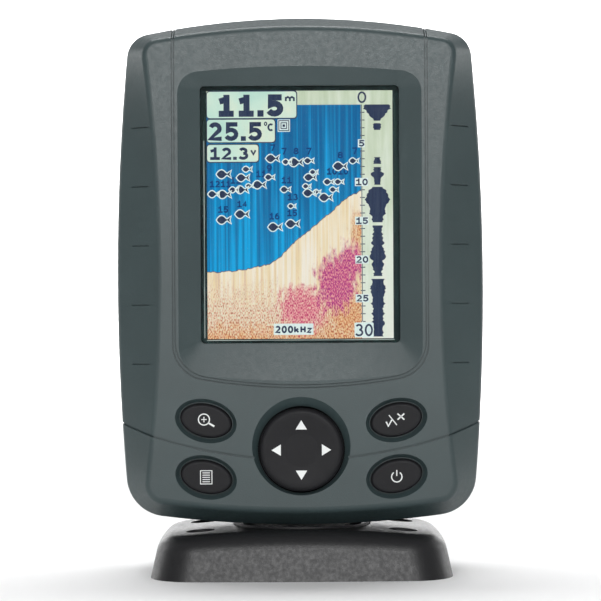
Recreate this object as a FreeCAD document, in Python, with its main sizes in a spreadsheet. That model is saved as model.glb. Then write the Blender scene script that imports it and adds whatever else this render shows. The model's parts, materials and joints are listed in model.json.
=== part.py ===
import FreeCAD, Part
import math
import os
import re

import Sketcher
from FreeCAD import Placement, Rotation, Vector

# A portable fish finder: a two-piece head with a portrait screen, four oval keys and a rocker disc, on a
# gimbal that tilts it back and swivels it on a low base. Millimetres. The origin is on the mounting
# surface, on the swivel axis. The screen faces -Y, +X is to the viewer's right and +Z is up.

SIZES = {
    # Head outline: half widths and heights of the corners, their rounding, and the bend of the sides.
    "head_half_low": 48.8,
    "head_low": 18.2,
    "head_low_round": 11.5,
    "head_low_bend": 301,
    "head_half_high": 48.4,
    "head_high": 152.4,
    "head_high_round": 7,
    "head_high_bend": 217,
    "head_side_bend": 670,
    # Face: the flat front field inside the sloping edge, waisted at the middle.
    "face_half_low": 43.9,
    "face_low": 22.2,
    "face_low_round": 5,
    "face_low_bend": 274,
    "face_half_high": 44.1,
    "face_high": 150.4,
    "face_high_round": 4.5,
    "face_high_bend": 242,
    "face_side_bend": 455,
    # Levels of the head from front to rear, along Y.
    "face_y": -23,
    "slope_y": -15,
    "joint_y": -5,
    "rear_slope_y": 5,
    "rear_y": 19,
    "inner_face_y": -19,
    "inner_slope_y": -12.8,
    "wall": 2.2,
    "rear_inset": 9.5,
    "face_edge_round": 2.2,
    "slope_edge_round": 2,
    "rear_edge_round": 3,
    # Grooves in the front: the long curve through the disc, the double line round the screen, the grips.
    "groove_depth": 0.5,
    "curve_half": 55,
    "curve_end": 44.9,
    "curve_bend": 132.5,
    "curve_width": 0.6,
    "line_half": 35,
    "line_low": 58.3,
    "line_round": 10,
    "line_bend": 156,
    "line_top": 165,
    "line_width": 0.3,
    "line_step": 0.65,
    "grip_inner": 42.5,
    "grip_outer": 47.5,
    "grip_low": 59.9,
    "grip_pitch": 16.65,
    "grip_width": 0.35,
    # Screen: the funnel in the face, the opening at its bottom, and the window behind it.
    "funnel_half": 34.2,
    "funnel_low": 57.9,
    "funnel_high": 141.5,
    "funnel_round_low": 8,
    "funnel_round_high": 6,
    "funnel_bend_low": 230,
    "funnel_bend_high": 290,
    "funnel_y": -20.1,
    "opening_half": 28.05,
    "opening_low": 65.8,
    "opening_high": 138.3,
    "opening_round": 1.2,
    "window_y": -19.3,
    "window_thick": 1.6,
    "window_rim": 2.4,
    "glass_y": -17,
    "glass_thick": 1.8,
    "glass_rim": 3,
    "backlight_thick": 2.6,
    "frame_wall": 1,
    "flex_half": 12,
    "flex_thick": 0.3,
    "flex_low": 57,
    # Keys: two at each side of the disc, tilted so that the outer end is the higher.
    "key_x": 26.7,
    "key_high_z": 44.2,
    "key_low_z": 28.4,
    "key_tilt": 13,
    "key_half_long": 7.3,
    "key_half_high": 4.6,
    "key_top_y": -22.6,
    "key_round": 0.9,
    "key_gap": 0.2,
    "key_flange": 1,
    "key_flange_y": -18.8,
    "key_flange_thick": 1,
    "plunger_radius": 2,
    "plunger_y": -10.9,
    "well_half_long": 8.75,
    "well_half_high": 6.1,
    "well_y": -21,
    "well_slope": 1.1,
    # Disc: a rocker under a round well, on a gimbal stub.
    "disc_z": 35.9,
    "disc_radius": 11.75,
    "disc_top_y": -22.9,
    "disc_round": 1.4,
    "disc_dish_radius": 9.6,
    "disc_dish": 0.35,
    "disc_gap": 0.5,
    "disc_flange_radius": 13,
    "disc_flange_y": -18.1,
    "disc_flange_thick": 1,
    "disc_well_z": 37,
    "disc_well_radius": 13.8,
    "disc_well_y": -20.6,
    "disc_post_radius": 1.5,
    "disc_post_circle": 8,
    "stub_radius": 2.6,
    "stub_front_y": -19.2,
    "stub_rear_y": -16.9,
    "stub_gap": 0.6,
    "trunnion_y": -18,
    "trunnion_half": 3,
    "trunnion_radius": 0.7,
    # Inside: keypad mat, board and what stands on it.
    "mat_y": -16.2,
    "mat_thick": 1.2,
    "mat_half": 37,
    "mat_low": 22.5,
    "mat_high": 53,
    "mat_gap": 0.7,
    "mat_round": 4,
    "dome_radius": 3,
    "dome_y": -10,
    "board_y": -9.6,
    "board_thick": 1.6,
    "board_half": 38,
    "board_low": 26,
    "board_high": 146,
    "board_round": 2,
    "standoff_x": 35,
    "standoff_high_z": 143.4,
    "standoff_low_z": 56.2,
    "standoff_radius": 2.2,
    "chip_high": 1.4,
    "block_round": 1,
    "transformer_x": -14,
    "transformer_z": 96,
    "transformer_half": 8,
    "transformer_high": 11,
    "can_x": 8,
    "can_z": 96,
    "can_pitch": 10,
    "can_radius": 4,
    "can_high": 12,
    "buzzer_x": 26,
    "buzzer_z": 122,
    "buzzer_radius": 6,
    "buzzer_hole": 1,
    "buzzer_high": 6,
    "plug_half_long": 6,
    "plug_half_high": 5,
    "plug_high": 7,
    "board_screw_radius": 1,
    "board_screw_head": 1.9,
    "board_screw_head_thick": 1.3,
    "board_screw_tip_y": -14,
    # Screws that hold the two housings together, in wells from the rear.
    "screw_half": 42.3,
    "screw_low_z": 31,
    "screw_mid_z": 86,
    "screw_high_z": 144,
    "screw_radius": 1.1,
    "screw_head": 2.3,
    "screw_head_thick": 1.8,
    "screw_seat_y": 0,
    "screw_tip_y": -13,
    "boss_radius": 2.9,
    "boss_front_y": -16,
    "screw_well_radius": 2.6,
    "screw_column": 4.2,
    "seal_inset": 0.6,
    "seal_width": 1,
    "seal_thick": 0.8,
    # Sockets on the rear.
    "socket_x": 16,
    "socket_z": 52,
    "socket_radius": 8,
    "socket_bore": 6.2,
    "socket_front_y": 14,
    "socket_floor_y": 16,
    "socket_rear_y": 25,
    "socket_flange": 9.4,
    "socket_flange_thick": 1.2,
    "socket_seal_thick": 0.8,
    "socket_nut": 10.6,
    "socket_nut_thick": 2.4,
    "socket_fit": 0.1,
    "pin_radius": 0.7,
    "pin_circle": 3.4,
    "pin_end_y": 20,
    "wire_radius": 0.6,
    # Gimbal: the tilt axis, the notch in the rear housing, and the knuckle between the turret's ears.
    "tilt_y": 4,
    "tilt_z": 24,
    "notch_half": 20.2,
    "notch_front_y": -2.8,
    "notch_top": 32,
    "knuckle_half": 9.4,
    "knuckle_radius": 6,
    "ear_inner": 13.6,
    "ear_outer": 17.2,
    "ear_radius": 6,
    "tilt_pin_radius": 2.5,
    "tilt_pin_half": 18.6,
    "tilt_fit": 0.06,
    "clip_inner": 17.3,
    "clip_outer": 17.9,
    "clip_radius": 4,
    "friction_inner": 9.5,
    "friction_outer": 11.4,
    "friction_radius": 5.6,
    "spring_inner": 11.7,
    "spring_outer": 13.4,
    "spring_wide": 5.4,
    "spring_narrow": 3.6,
    "spring_thick": 0.7,
    # Turret and swivel.
    "drum_radius": 19.6,
    "drum_low": 10.4,
    "drum_top": 13.9,
    "hub_radius": 8.7,
    "hub_low": 6.7,
    "swivel_bolt_radius": 2.5,
    "swivel_bolt_top": 12.4,
    "swivel_bolt_head": 4.6,
    "swivel_bolt_low": 2.5,
    "swivel_bolt_seat": 4.7,
    "swivel_washer": 12,
    "swivel_washer_low": 5.9,
    "spring_washer": 6,
    # Base: a low moulding with sloping sides and a domed top, closed by a plate.
    "base_half": 41.9,
    "base_half_deep": 29.6,
    "base_round": 12,
    "base_end_bend": 375,
    "base_front_bend": 612,
    "base_slope_side": 3,
    "base_slope_front": 3.6,
    "base_high": 14.6,
    "base_crown": 380,
    "base_crown_edge": 10.95,
    "base_edge_round": 6,
    "base_wall": 2.6,
    "base_floor_low": 7,
    "base_floor_top": 10.2,
    "recess_radius": 20,
    "recess_wall": 2.4,
    "hub_bore": 9,
    "upper_hollow_inset": 7,
    "plate_thick": 1.8,
    "plate_sink": 1.2,
    "plate_gap": 0.2,
    "fixing_x": 28.8,
    "fixing_y": 13,
    "fixing_radius": 2.3,
    "fixing_bore": 4.15,
    "fixing_bore_low": 8.5,
    "fixing_pillar": 5,
    "plate_screw_x": 35.6,
    "plate_screw_y": 19.2,
    "plate_screw_radius": 1.1,
    "plate_screw_head": 2.1,
    "plate_screw_pillar": 2.5,
    "plate_screw_top": 6,
}

FLAT_NORMAL = Vector(0, 0, 1)
ROUNDING_STEPS = 12
# Each sketch plane, with the direction of its normal along the axis that it is square to.
PLANES = {"XY": ("XY_Plane", 1), "XZ": ("XZ_Plane", -1), "YZ": ("YZ_Plane", 1)}
MIRROR = (-1, 1)
EDGE_TOLERANCE = 0.01
BOARD_REAR = "board_y + board_thick"
SOCKET_SIDES = (("power", -1), ("transducer", 1))
PIN_COUNTS = {"power": 2, "transducer": 4}
# Chips on the board: centre across and up, half width and half height.
CHIPS = ((-23, 125, 7, 7), (4, 124, 8, 8), (24, 88, 6, 4), (-28, 70, 4, 4), (27, 68, 5, 4))

doc = FreeCAD.newDocument("FishFinder")
nodes = []


def size_sheet():
    """The spreadsheet that holds the driving sizes, one row each, with the name as its alias."""
    cells = doc.addObject("Spreadsheet::Sheet", "Sizes")
    for row, (name, value) in enumerate(SIZES.items(), 1):
        cells.set(f"A{row}", name)
        cells.set(f"B{row}", str(value))
        cells.setAlias(f"B{row}", name)
    doc.recompute()
    return cells


sheet = size_sheet()


def bound(formula):
    """The formula with each size's name turned into a reference to its cell."""
    return re.sub(r"[a-z_]+", lambda word: refer(word.group()), str(formula))


def refer(word):
    return f"Sizes.{word}" if word in SIZES else word


def number(formula):
    return float(sheet.evalExpression(bound(formula)))


# ---- sketches -------------------------------------------------------------------------------------


def sketch(body, plane, level, at=(0, 0), turn=None):
    """A sketch square to one axis at a level along it, with its own origin moved and turned."""
    role, sign = PLANES[plane]
    drawing = body.newObject("Sketcher::SketchObject", "Sketch")
    support = next(feature for feature in body.Origin.OriginFeatures if feature.Role == role)
    drawing.AttachmentSupport = (support, [""])
    drawing.MapMode = "FlatFace"
    if turn:
        drawing.AttachmentOffset = Placement(Vector(0, 0, 0), Rotation(FLAT_NORMAL, number(turn)))
        drawing.setExpression("AttachmentOffset.Rotation.Angle", bound(f"({turn}) * 1 deg"))
    drawing.setExpression("AttachmentOffset.Base.x", bound(at[0]))
    drawing.setExpression("AttachmentOffset.Base.y", bound(at[1]))
    drawing.setExpression("AttachmentOffset.Base.z", bound(f"{sign} * ({level})"))
    return drawing


def drive(drawing, formula, *constraint):
    """Add a sized constraint and tie it to its formula."""
    index = drawing.addConstraint(Sketcher.Constraint(*constraint, number(formula)))
    drawing.setExpression(f"Constraints[{index}]", bound(formula))


def pin(drawing, item, end, x, y):
    """Hold a point of the sketch at x, y from its origin."""
    drive(drawing, x, "DistanceX", -1, 1, item, end)
    drive(drawing, y, "DistanceY", -1, 1, item, end)


def circle(drawing, x, y, radius):
    centre = Vector(number(x), number(y), 0)
    item = drawing.addGeometry(Part.Circle(centre, FLAT_NORMAL, number(radius)), False)
    pin(drawing, item, 3, x, y)
    drive(drawing, radius, "Radius", item)


def ellipse(drawing, half_long, half_high):
    """An ellipse about the sketch's origin, long across."""
    item = drawing.addGeometry(Part.Ellipse(Vector(0, 0, 0), number(half_long), number(half_high)), False)
    drawing.exposeInternalGeometry(item)
    drawing.addConstraint(Sketcher.Constraint("Coincident", item, 3, -1, 1))
    drawing.addConstraint(Sketcher.Constraint("Horizontal", item + 1))
    drive(drawing, f"2 * ({half_long})", "Distance", item + 1)
    drive(drawing, f"2 * ({half_high})", "Distance", item + 2)


def bend_centre(start, end, bend):
    """Centre of the arc that bends outward (bend over 0) or inward from start to end."""
    along = end - start
    inward = Vector(-along.y, along.x, 0).normalize()
    depth = math.sqrt(bend**2 - along.Length**2 / 4)
    return (start + end) * 0.5 + inward * math.copysign(depth, bend)


def foot(side, point):
    """The point of a side's line or circle nearest to a point, and the way into the outline there."""
    start, end, bend = side
    if bend == 0:
        along = (end - start).normalize()
        return start + along * (point - start).dot(along), Vector(-along.y, along.x, 0)
    centre = bend_centre(start, end, bend)
    outward = (point - centre).normalize()
    return centre + outward * abs(bend), outward * -math.copysign(1, bend)


def rounding_feet(before, after, corner, radius):
    """Centre of an arc that touches the two sides of a corner, and the points where it touches."""
    centre = corner
    for _ in range(ROUNDING_STEPS):
        (first, into_first), (last, into_last) = foot(before, centre), foot(after, centre)
        reach_first = radius + first.dot(into_first)
        reach_last = radius + last.dot(into_last)
        turn = into_first.x * into_last.y - into_first.y * into_last.x
        across = (reach_first * into_last.y - reach_last * into_first.y) / turn
        up = (reach_last * into_first.x - reach_first * into_last.x) / turn
        centre = Vector(across, up, 0)
    return centre, foot(before, centre)[0], foot(after, centre)[0]


def arc_curve(centre, first, last):
    """The anticlockwise arc about a centre between two points."""
    turns = [math.atan2(point.y - centre.y, point.x - centre.x) for point in (first, last)]
    ring = Part.Circle(centre, FLAT_NORMAL, centre.distanceToPoint(first))
    return Part.ArcOfCircle(ring, turns[0], turns[0] + (turns[1] - turns[0]) % math.tau)


def side_curve(side, first, last):
    start, end, bend = side
    if bend == 0:
        return Part.LineSegment(first, last)
    points = (first, last) if bend > 0 else (last, first)
    return arc_curve(bend_centre(start, end, bend), *points)


def outline(drawing, *corners):
    """A closed anticlockwise ring of corners: x, y, rounding, and the bend of the side that follows."""
    points = [Vector(number(x), number(y), 0) for x, y, _, _ in corners]
    sides = [
        (points[index], points[(index + 1) % len(points)], number(corner[3]))
        for index, corner in enumerate(corners)
    ]
    feet = [
        rounding_feet(sides[index - 1], sides[index], points[index], number(corner[2]))
        for index, corner in enumerate(corners)
    ]
    items = [
        drawing.addGeometry(side_curve(side, feet[index][2], feet[(index + 1) % len(feet)][1]), False)
        for index, side in enumerate(sides)
    ]
    for index, (x, y, rounding, bend) in enumerate(corners):
        before = (items[index - 1], 2 if sides[index - 1][2] >= 0 else 1)
        after = (items[index], 1 if sides[index][2] >= 0 else 2)
        if number(bend) != 0:
            drive(drawing, f"abs({bend})", "Radius", items[index])
        if number(rounding) > 0:
            rounded_corner(drawing, before, after, arc_curve(*feet[index]), (x, y, rounding))
        else:
            drawing.addConstraint(Sketcher.Constraint("Coincident", *before, *after))
            pin(drawing, *after, x, y)


def rounded_corner(drawing, before, after, arc, corner):
    """An arc tangent to both sides, whose lines would meet in the pinned corner point."""
    x, y, rounding = corner
    item = drawing.addGeometry(arc, False)
    drawing.addConstraint(Sketcher.Constraint("Tangent", *before, item, 1))
    drawing.addConstraint(Sketcher.Constraint("Tangent", item, 2, *after))
    drive(drawing, rounding, "Radius", item)
    meeting = drawing.addGeometry(Part.Point(Vector(number(x), number(y), 0)), True)
    for side, _ in (before, after):
        drawing.addConstraint(Sketcher.Constraint("PointOnObject", meeting, 1, side))
    pin(drawing, meeting, 1, x, y)


def rectangle(drawing, left, low, right, high, rounding=0):
    ring = ((left, low), (right, low), (right, high), (left, high))
    outline(drawing, *((x, y, rounding, 0) for x, y in ring))


# ---- features -------------------------------------------------------------------------------------


def new_body(name):
    body = doc.addObject("PartDesign::Body", "Body")
    body.Label = name
    return body


def draw(body, plane, level, shapes, at=(0, 0), turn=None):
    drawing = sketch(body, plane, level, at, turn)
    for shape, *values in shapes:
        shape(drawing, *values)
    return drawing


def extrude(body, plane, low, high, *shapes, at=(0, 0), turn=None, cut=False):
    """Pad or pocket the shapes from the low level to the high level, measured along the axis."""
    drawing = draw(body, plane, low, shapes, at, turn)
    feature = body.newObject("PartDesign::Pocket" if cut else "PartDesign::Pad", "Extrusion")
    feature.Profile = drawing
    feature.Reversed = (PLANES[plane][1] < 0) != cut
    feature.setExpression("Length", bound(f"({high}) - ({low})"))
    return feature


def pocket(body, plane, low, high, *shapes, at=(0, 0), turn=None):
    """Cut the shapes out from the low level to the high level."""
    return extrude(body, plane, low, high, *shapes, at=at, turn=turn, cut=True)


def loft(body, plane, *sections, cut=False):
    """A straight-sided loft through sections, each a level, a shape with its sizes, an origin, a turn."""
    feature_kind = "PartDesign::SubtractiveLoft" if cut else "PartDesign::AdditiveLoft"
    drawings = [draw(body, plane, level, [shape], at, turn) for level, shape, at, turn in sections]
    feature = body.newObject(feature_kind, "Loft")
    feature.Profile = drawings[0]
    feature.Sections = drawings[1:]
    feature.Ruled = True
    return feature


def edges_at(feature, axis, level):
    """Names of the edges that lie wholly at one level along an axis."""
    names = []
    for index, edge in enumerate(feature.Shape.Edges, 1):
        box = edge.BoundBox
        low, high = getattr(box, axis + "Min"), getattr(box, axis + "Max")
        if abs(low - level) < EDGE_TOLERANCE and abs(high - level) < EDGE_TOLERANCE:
            names.append(f"Edge{index}")
    return names


def fillet(body, axis, level, radius):
    """Round the edges of the body that lie at one level."""
    doc.recompute()
    base = body.Tip
    feature = body.newObject("PartDesign::Fillet", "Fillet")
    feature.Base = (base, edges_at(base, axis, number(level)))
    feature.setExpression("Radius", bound(radius))
    doc.recompute()
    return feature


def boolean(kind, name, base, tool):
    feature = doc.addObject(f"Part::{kind}", kind)
    feature.Label = name
    feature.Base = base
    feature.Tool = tool
    return feature


def node(item):
    """Note an object as one of the model's sub-parts."""
    nodes.append(item)
    return item


# ---- head outlines --------------------------------------------------------------------------------


def head_outline(drawing, inset=0):
    """The silhouette of the head, drawn in by an inset."""
    low_x, low_z = f"head_half_low - ({inset})", f"head_low + ({inset})"
    high_x, high_z = f"head_half_high - ({inset})", f"head_high - ({inset})"
    outline(
        drawing,
        (f"-({low_x})", low_z, "head_low_round", "head_low_bend"),
        (low_x, low_z, "head_low_round", "head_side_bend"),
        (high_x, high_z, "head_high_round", "head_high_bend"),
        (f"-({high_x})", high_z, "head_high_round", "head_side_bend"),
    )


def face_outline(drawing, inset=0):
    """The waisted field on the front, drawn in by an inset."""
    low_x, low_z = f"face_half_low - ({inset})", f"face_low + ({inset})"
    high_x, high_z = f"face_half_high - ({inset})", f"face_high - ({inset})"
    outline(
        drawing,
        (f"-({low_x})", low_z, "face_low_round", "face_low_bend"),
        (low_x, low_z, "face_low_round", "-face_side_bend"),
        (high_x, high_z, "face_high_round", "face_high_bend"),
        (f"-({high_x})", high_z, "face_high_round", "-face_side_bend"),
    )


def front_form(name, inset=0):
    """The outer form of the front housing, drawn in all round by an inset."""
    body = new_body(name)
    extrude(body, "XZ", "slope_y", "joint_y", (head_outline, inset))
    loft(
        body,
        "XZ",
        ("slope_y", (head_outline, inset), (0, 0), None),
        (f"face_y + ({inset})", (face_outline, inset), (0, 0), None),
    )
    return body


def rear_form(name, inset=0):
    """The outer form of the rear housing, drawn in all round by an inset."""
    body = new_body(name)
    extrude(body, "XZ", "joint_y", f"rear_slope_y - ({inset})", (head_outline, inset))
    loft(
        body,
        "XZ",
        (f"rear_slope_y - ({inset})", (head_outline, inset), (0, 0), None),
        (f"rear_y - ({inset})", (head_outline, f"rear_inset + ({inset})"), (0, 0), None),
    )
    return body


# ---- front housing --------------------------------------------------------------------------------


def curve_groove(drawing):
    """The long shallow curve across the front, hung from both sides."""
    outline(
        drawing,
        ("-curve_half", "curve_end", 0, "curve_bend"),
        ("curve_half", "curve_end", 0, 0),
        ("curve_half", "curve_end + curve_width", 0, "-curve_bend"),
        ("-curve_half", "curve_end + curve_width", 0, 0),
    )


def line_outline(drawing, offset):
    """A tall U round the screen, open over the top edge."""
    half, low = f"line_half + {offset}", f"line_low - ({offset})"
    outline(
        drawing,
        (f"-({half})", low, "line_round", f"line_bend + {offset}"),
        (half, low, "line_round", 0),
        (half, f"line_top + {offset}", 0, 0),
        (f"-({half})", f"line_top + {offset}", 0, 0),
    )


def grip_grooves(drawing):
    """Short level nicks up both sloping sides."""
    for step in range(5):
        low = f"grip_low + {step} * grip_pitch"
        rectangle(drawing, "grip_inner", low, "grip_outer", f"{low} + grip_width")
        rectangle(drawing, "-grip_outer", low, "-grip_inner", f"{low} + grip_width")


def groove_tool():
    """All the grooves, as the parts of tall ribbons that lie in the front's outermost layer."""
    ribbons = new_body("groove_ribbons")
    offsets = ("0", "line_width", "line_step", "line_step + line_width")
    lines = [(line_outline, offset) for offset in offsets]
    extrude(ribbons, "XZ", "face_y - 1", "joint_y", (curve_groove,), (grip_grooves,), *lines)
    return boolean("Cut", "groove_tool", ribbons, front_form("groove_bottom", "groove_depth"))


def window_outline(drawing, rim=0):
    """The screen opening, grown all round by a rim."""
    rectangle(
        drawing,
        f"-(opening_half + {rim})",
        f"opening_low - ({rim})",
        f"opening_half + {rim}",
        f"opening_high + {rim}",
        "opening_round",
    )


def funnel_outline(drawing):
    outline(
        drawing,
        ("-funnel_half", "funnel_low", "funnel_round_low", "funnel_bend_low"),
        ("funnel_half", "funnel_low", "funnel_round_low", 0),
        ("funnel_half", "funnel_high", "funnel_round_high", "funnel_bend_high"),
        ("-funnel_half", "funnel_high", "funnel_round_high", 0),
    )


def key_places():
    """Each key's name, the side it is on, and its height."""
    return (
        ("zoom_key", -1, "key_high_z"),
        ("menu_key", -1, "key_low_z"),
        ("enter_key", 1, "key_high_z"),
        ("power_key", 1, "key_low_z"),
    )


def cut_key_well(body, side, height):
    """A tapering oval well in the face, with a clear oval hole at its bottom."""
    place = (f"{side} * key_x", height)
    turn = f"{side} * key_tilt"
    loft(
        body,
        "XZ",
        ("face_y", (ellipse, "well_half_long", "well_half_high"), place, turn),
        ("well_y", (ellipse, "well_half_long - well_slope", "well_half_high - well_slope"), place, turn),
        cut=True,
    )
    hole = (ellipse, "key_half_long + key_gap", "key_half_high + key_gap")
    pocket(body, "XZ", "well_y", "inner_face_y", hole, at=place, turn=turn)


def cut_disc_well(body):
    loft(
        body,
        "XZ",
        ("face_y", (circle, 0, "disc_well_z", "disc_well_radius"), (0, 0), None),
        ("disc_well_y", (circle, 0, "disc_z", "disc_radius + disc_gap"), (0, 0), None),
        cut=True,
    )
    hole = (circle, 0, "disc_z", "disc_radius + disc_gap")
    pocket(body, "XZ", "disc_well_y", "inner_face_y", hole)


def cut_screen(body):
    """The funnel, the opening at its bottom and the seat of the window behind it."""
    loft(
        body,
        "XZ",
        ("face_y", (funnel_outline,), (0, 0), None),
        ("funnel_y", (window_outline, 0), (0, 0), None),
        cut=True,
    )
    pocket(body, "XZ", "funnel_y", "inner_face_y", (window_outline, 0))
    pocket(body, "XZ", "window_y", "inner_face_y", (window_outline, "window_rim"))


def cut_front_hollow(body):
    pocket(body, "XZ", "inner_slope_y", "joint_y", (head_outline, "wall"))
    loft(
        body,
        "XZ",
        ("inner_slope_y", (head_outline, "wall"), (0, 0), None),
        ("inner_face_y", (face_outline, "wall"), (0, 0), None),
        cut=True,
    )


def board_fixings():
    return [(side, height) for side in MIRROR for height in ("standoff_low_z", "standoff_high_z")]


def housing_fixings():
    heights = ("screw_low_z", "screw_mid_z", "screw_high_z")
    return [(side, height) for side in MIRROR for height in heights]


def board_circles(radius):
    return [(circle, f"{side} * standoff_x", height, radius) for side, height in board_fixings()]


def housing_circles(radius):
    return [(circle, f"{side} * screw_half", height, radius) for side, height in housing_fixings()]


def front_housing():
    body = front_form("front_form")
    fillet(body, "Y", "face_y", "face_edge_round")
    fillet(body, "Y", "slope_y", "slope_edge_round")
    cut_front_hollow(body)
    extrude(body, "XZ", "inner_face_y", "board_y", *board_circles("standoff_radius"))
    extrude(body, "XZ", "boss_front_y", "joint_y", *housing_circles("boss_radius"))
    pocket(body, "XZ", "board_screw_tip_y", "board_y", *board_circles("board_screw_radius"))
    pocket(body, "XZ", "screw_tip_y", "joint_y", *housing_circles("screw_radius"))
    cut_screen(body)
    for _, side, height in key_places():
        cut_key_well(body, side, height)
    cut_disc_well(body)
    pocket(body, "XZ", "joint_y - seal_thick", "joint_y", *seal_ring())
    node(boolean("Cut", "front_housing", body, groove_tool()))


def seal_ring():
    return (head_outline, "seal_inset"), (head_outline, "seal_inset + seal_width")


def housing_seal():
    body = node(new_body("housing_seal"))
    extrude(body, "XZ", "joint_y - seal_thick", "joint_y", *seal_ring())


# ---- rear housing ---------------------------------------------------------------------------------


def tilt_circle(radius):
    return circle, "tilt_y", "tilt_z", radius


def notch_box(name, grow):
    """The notch for the turret, from the underside to beyond the rear, grown all round by a wall."""
    body = new_body(name)
    sides = (f"-(notch_half + {grow})", 0, f"notch_half + {grow}", f"notch_top + {grow}")
    extrude(body, "XZ", f"notch_front_y - ({grow})", "rear_y + wall", (rectangle, *sides))
    return body


def screw_columns():
    """Columns that stay standing in the hollow, for the deep screw wells."""
    body = new_body("screw_columns")
    extrude(body, "XZ", "joint_y - wall", "rear_y + wall", *housing_circles("screw_column"))
    return body


def rear_cuts():
    """What is cut right through the rear shell: screw wells and holes, and socket holes."""
    body = new_body("rear_cuts")
    extrude(body, "XZ", "screw_seat_y", "rear_y + wall", *housing_circles("screw_well_radius"))
    extrude(body, "XZ", "joint_y - wall", "screw_seat_y", *housing_circles("screw_radius + socket_fit"))
    hole = "socket_radius + socket_fit"
    socket_holes = [(circle, f"{side} * socket_x", "socket_z", hole) for _, side in SOCKET_SIDES]
    extrude(body, "XZ", "rear_y - 2 * wall", "rear_y + wall", *socket_holes)
    return body


def knuckle():
    """The lug for the tilt pin, hung from the roof of the notch."""
    body = new_body("knuckle")
    sides = ("tilt_y - knuckle_radius", "tilt_z", "tilt_y + knuckle_radius", "notch_top + wall")
    extrude(body, "YZ", "-knuckle_half", "knuckle_half", (rectangle, *sides))
    extrude(body, "YZ", "-knuckle_half", "knuckle_half", tilt_circle("knuckle_radius"))
    pocket(body, "YZ", "-knuckle_half", "knuckle_half", tilt_circle("tilt_pin_radius + tilt_fit"))
    return body


def rear_housing():
    form = rear_form("rear_shell_form")
    fillet(form, "Y", "rear_y", "rear_edge_round")
    fillet(form, "Y", "rear_slope_y", "rear_edge_round")
    hollow_form = rear_form("rear_hollow_form", "wall")
    beside_notch = boolean("Cut", "hollow_beside_notch", hollow_form, notch_box("notch_wall", "wall"))
    hollow = boolean("Cut", "rear_hollow", beside_notch, screw_columns())
    shell = boolean("Cut", "rear_shell", form, hollow)
    notch = boolean("Cut", "notch_round_knuckle", notch_box("notch", 0), knuckle())
    notched = boolean("Cut", "rear_with_notch", shell, notch)
    node(boolean("Cut", "rear_housing", notched, rear_cuts()))


# ---- screen ---------------------------------------------------------------------------------------


def screen_parts():
    window = node(new_body("display_window"))
    extrude(window, "XZ", "window_y", "window_y + window_thick", (window_outline, "window_rim"))
    seal = node(new_body("window_seal"))
    seal_rings = (window_outline, "window_rim"), (window_outline, "window_rim / 4")
    extrude(seal, "XZ", "window_y + window_thick", "glass_y", *seal_rings)
    glass = node(new_body("lcd_glass"))
    extrude(glass, "XZ", "glass_y", "glass_y + glass_thick", (window_outline, "glass_rim"))
    light = node(new_body("backlight_panel"))
    extrude(light, "XZ", "glass_y + glass_thick", "glass_y + glass_thick + backlight_thick",
            (window_outline, "glass_rim"))
    frame = node(new_body("lcd_frame"))
    frame_rings = (window_outline, "glass_rim + frame_wall"), (window_outline, "glass_rim")
    extrude(frame, "XZ", "glass_y", "glass_y + glass_thick + backlight_thick", *frame_rings)


def flex_cable():
    """The flat cable, down behind the display's lower edge and back to the board."""
    body = node(new_body("lcd_flex_cable"))
    front, top = "glass_y + glass_thick", "opening_low - glass_rim - frame_wall"
    ring = (
        (front, "flex_low"),
        ("board_y", "flex_low"),
        ("board_y", "flex_low + flex_thick"),
        (f"{front} + flex_thick", "flex_low + flex_thick"),
        (f"{front} + flex_thick", top),
        (front, top),
    )
    corners = [(y, z, 0, 0) for y, z in ring]
    extrude(body, "YZ", "-flex_half", "flex_half", (outline, *corners))


# ---- keys and disc --------------------------------------------------------------------------------


def key(name, side, height):
    """A rubber key: an oval cap, a flange that stays behind the housing, and a plunger to its switch."""
    body = node(new_body(name))
    place = (f"{side} * key_x", height)
    turn = f"{side} * key_tilt"
    cap = (ellipse, "key_half_long", "key_half_high")
    flange = (ellipse, "key_half_long + key_flange", "key_half_high + key_flange")
    flange_rear = "key_flange_y + key_flange_thick"
    extrude(body, "XZ", "key_top_y", "key_flange_y", cap, at=place, turn=turn)
    fillet(body, "Y", "key_top_y", "key_round")
    extrude(body, "XZ", "key_flange_y", flange_rear, flange, at=place, turn=turn)
    extrude(body, "XZ", flange_rear, "plunger_y", (circle, 0, 0, "plunger_radius"), at=place)


def disc_posts():
    """The four places round the disc's centre where its posts stand."""
    around = ((1, 0), (0, 1), (-1, 0), (0, -1))
    return [(f"{x} * disc_post_circle", f"disc_z + {z} * disc_post_circle") for x, z in around]


def disc():
    """The rocker disc, dished in front, with a flange and four posts that reach the switches."""
    body = node(new_body("nav_disc"))
    flange_rear = "disc_flange_y + disc_flange_thick"
    extrude(body, "XZ", "disc_top_y", "disc_flange_y", (circle, 0, "disc_z", "disc_radius"))
    fillet(body, "Y", "disc_top_y", "disc_round")
    loft(
        body,
        "XZ",
        ("disc_top_y", (circle, 0, "disc_z", "disc_dish_radius"), (0, 0), None),
        ("disc_top_y + disc_dish", (circle, 0, "disc_z", "disc_dish_radius / 2"), (0, 0), None),
        cut=True,
    )
    extrude(body, "XZ", "disc_flange_y", flange_rear, (circle, 0, "disc_z", "disc_flange_radius"))
    posts = [(circle, x, z, "disc_post_radius") for x, z in disc_posts()]
    extrude(body, "XZ", flange_rear, "plunger_y", *posts)
    hollow = (circle, 0, "disc_z", "stub_radius + stub_gap")
    pocket(body, "XZ", "stub_front_y - stub_gap", flange_rear, hollow)


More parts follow.
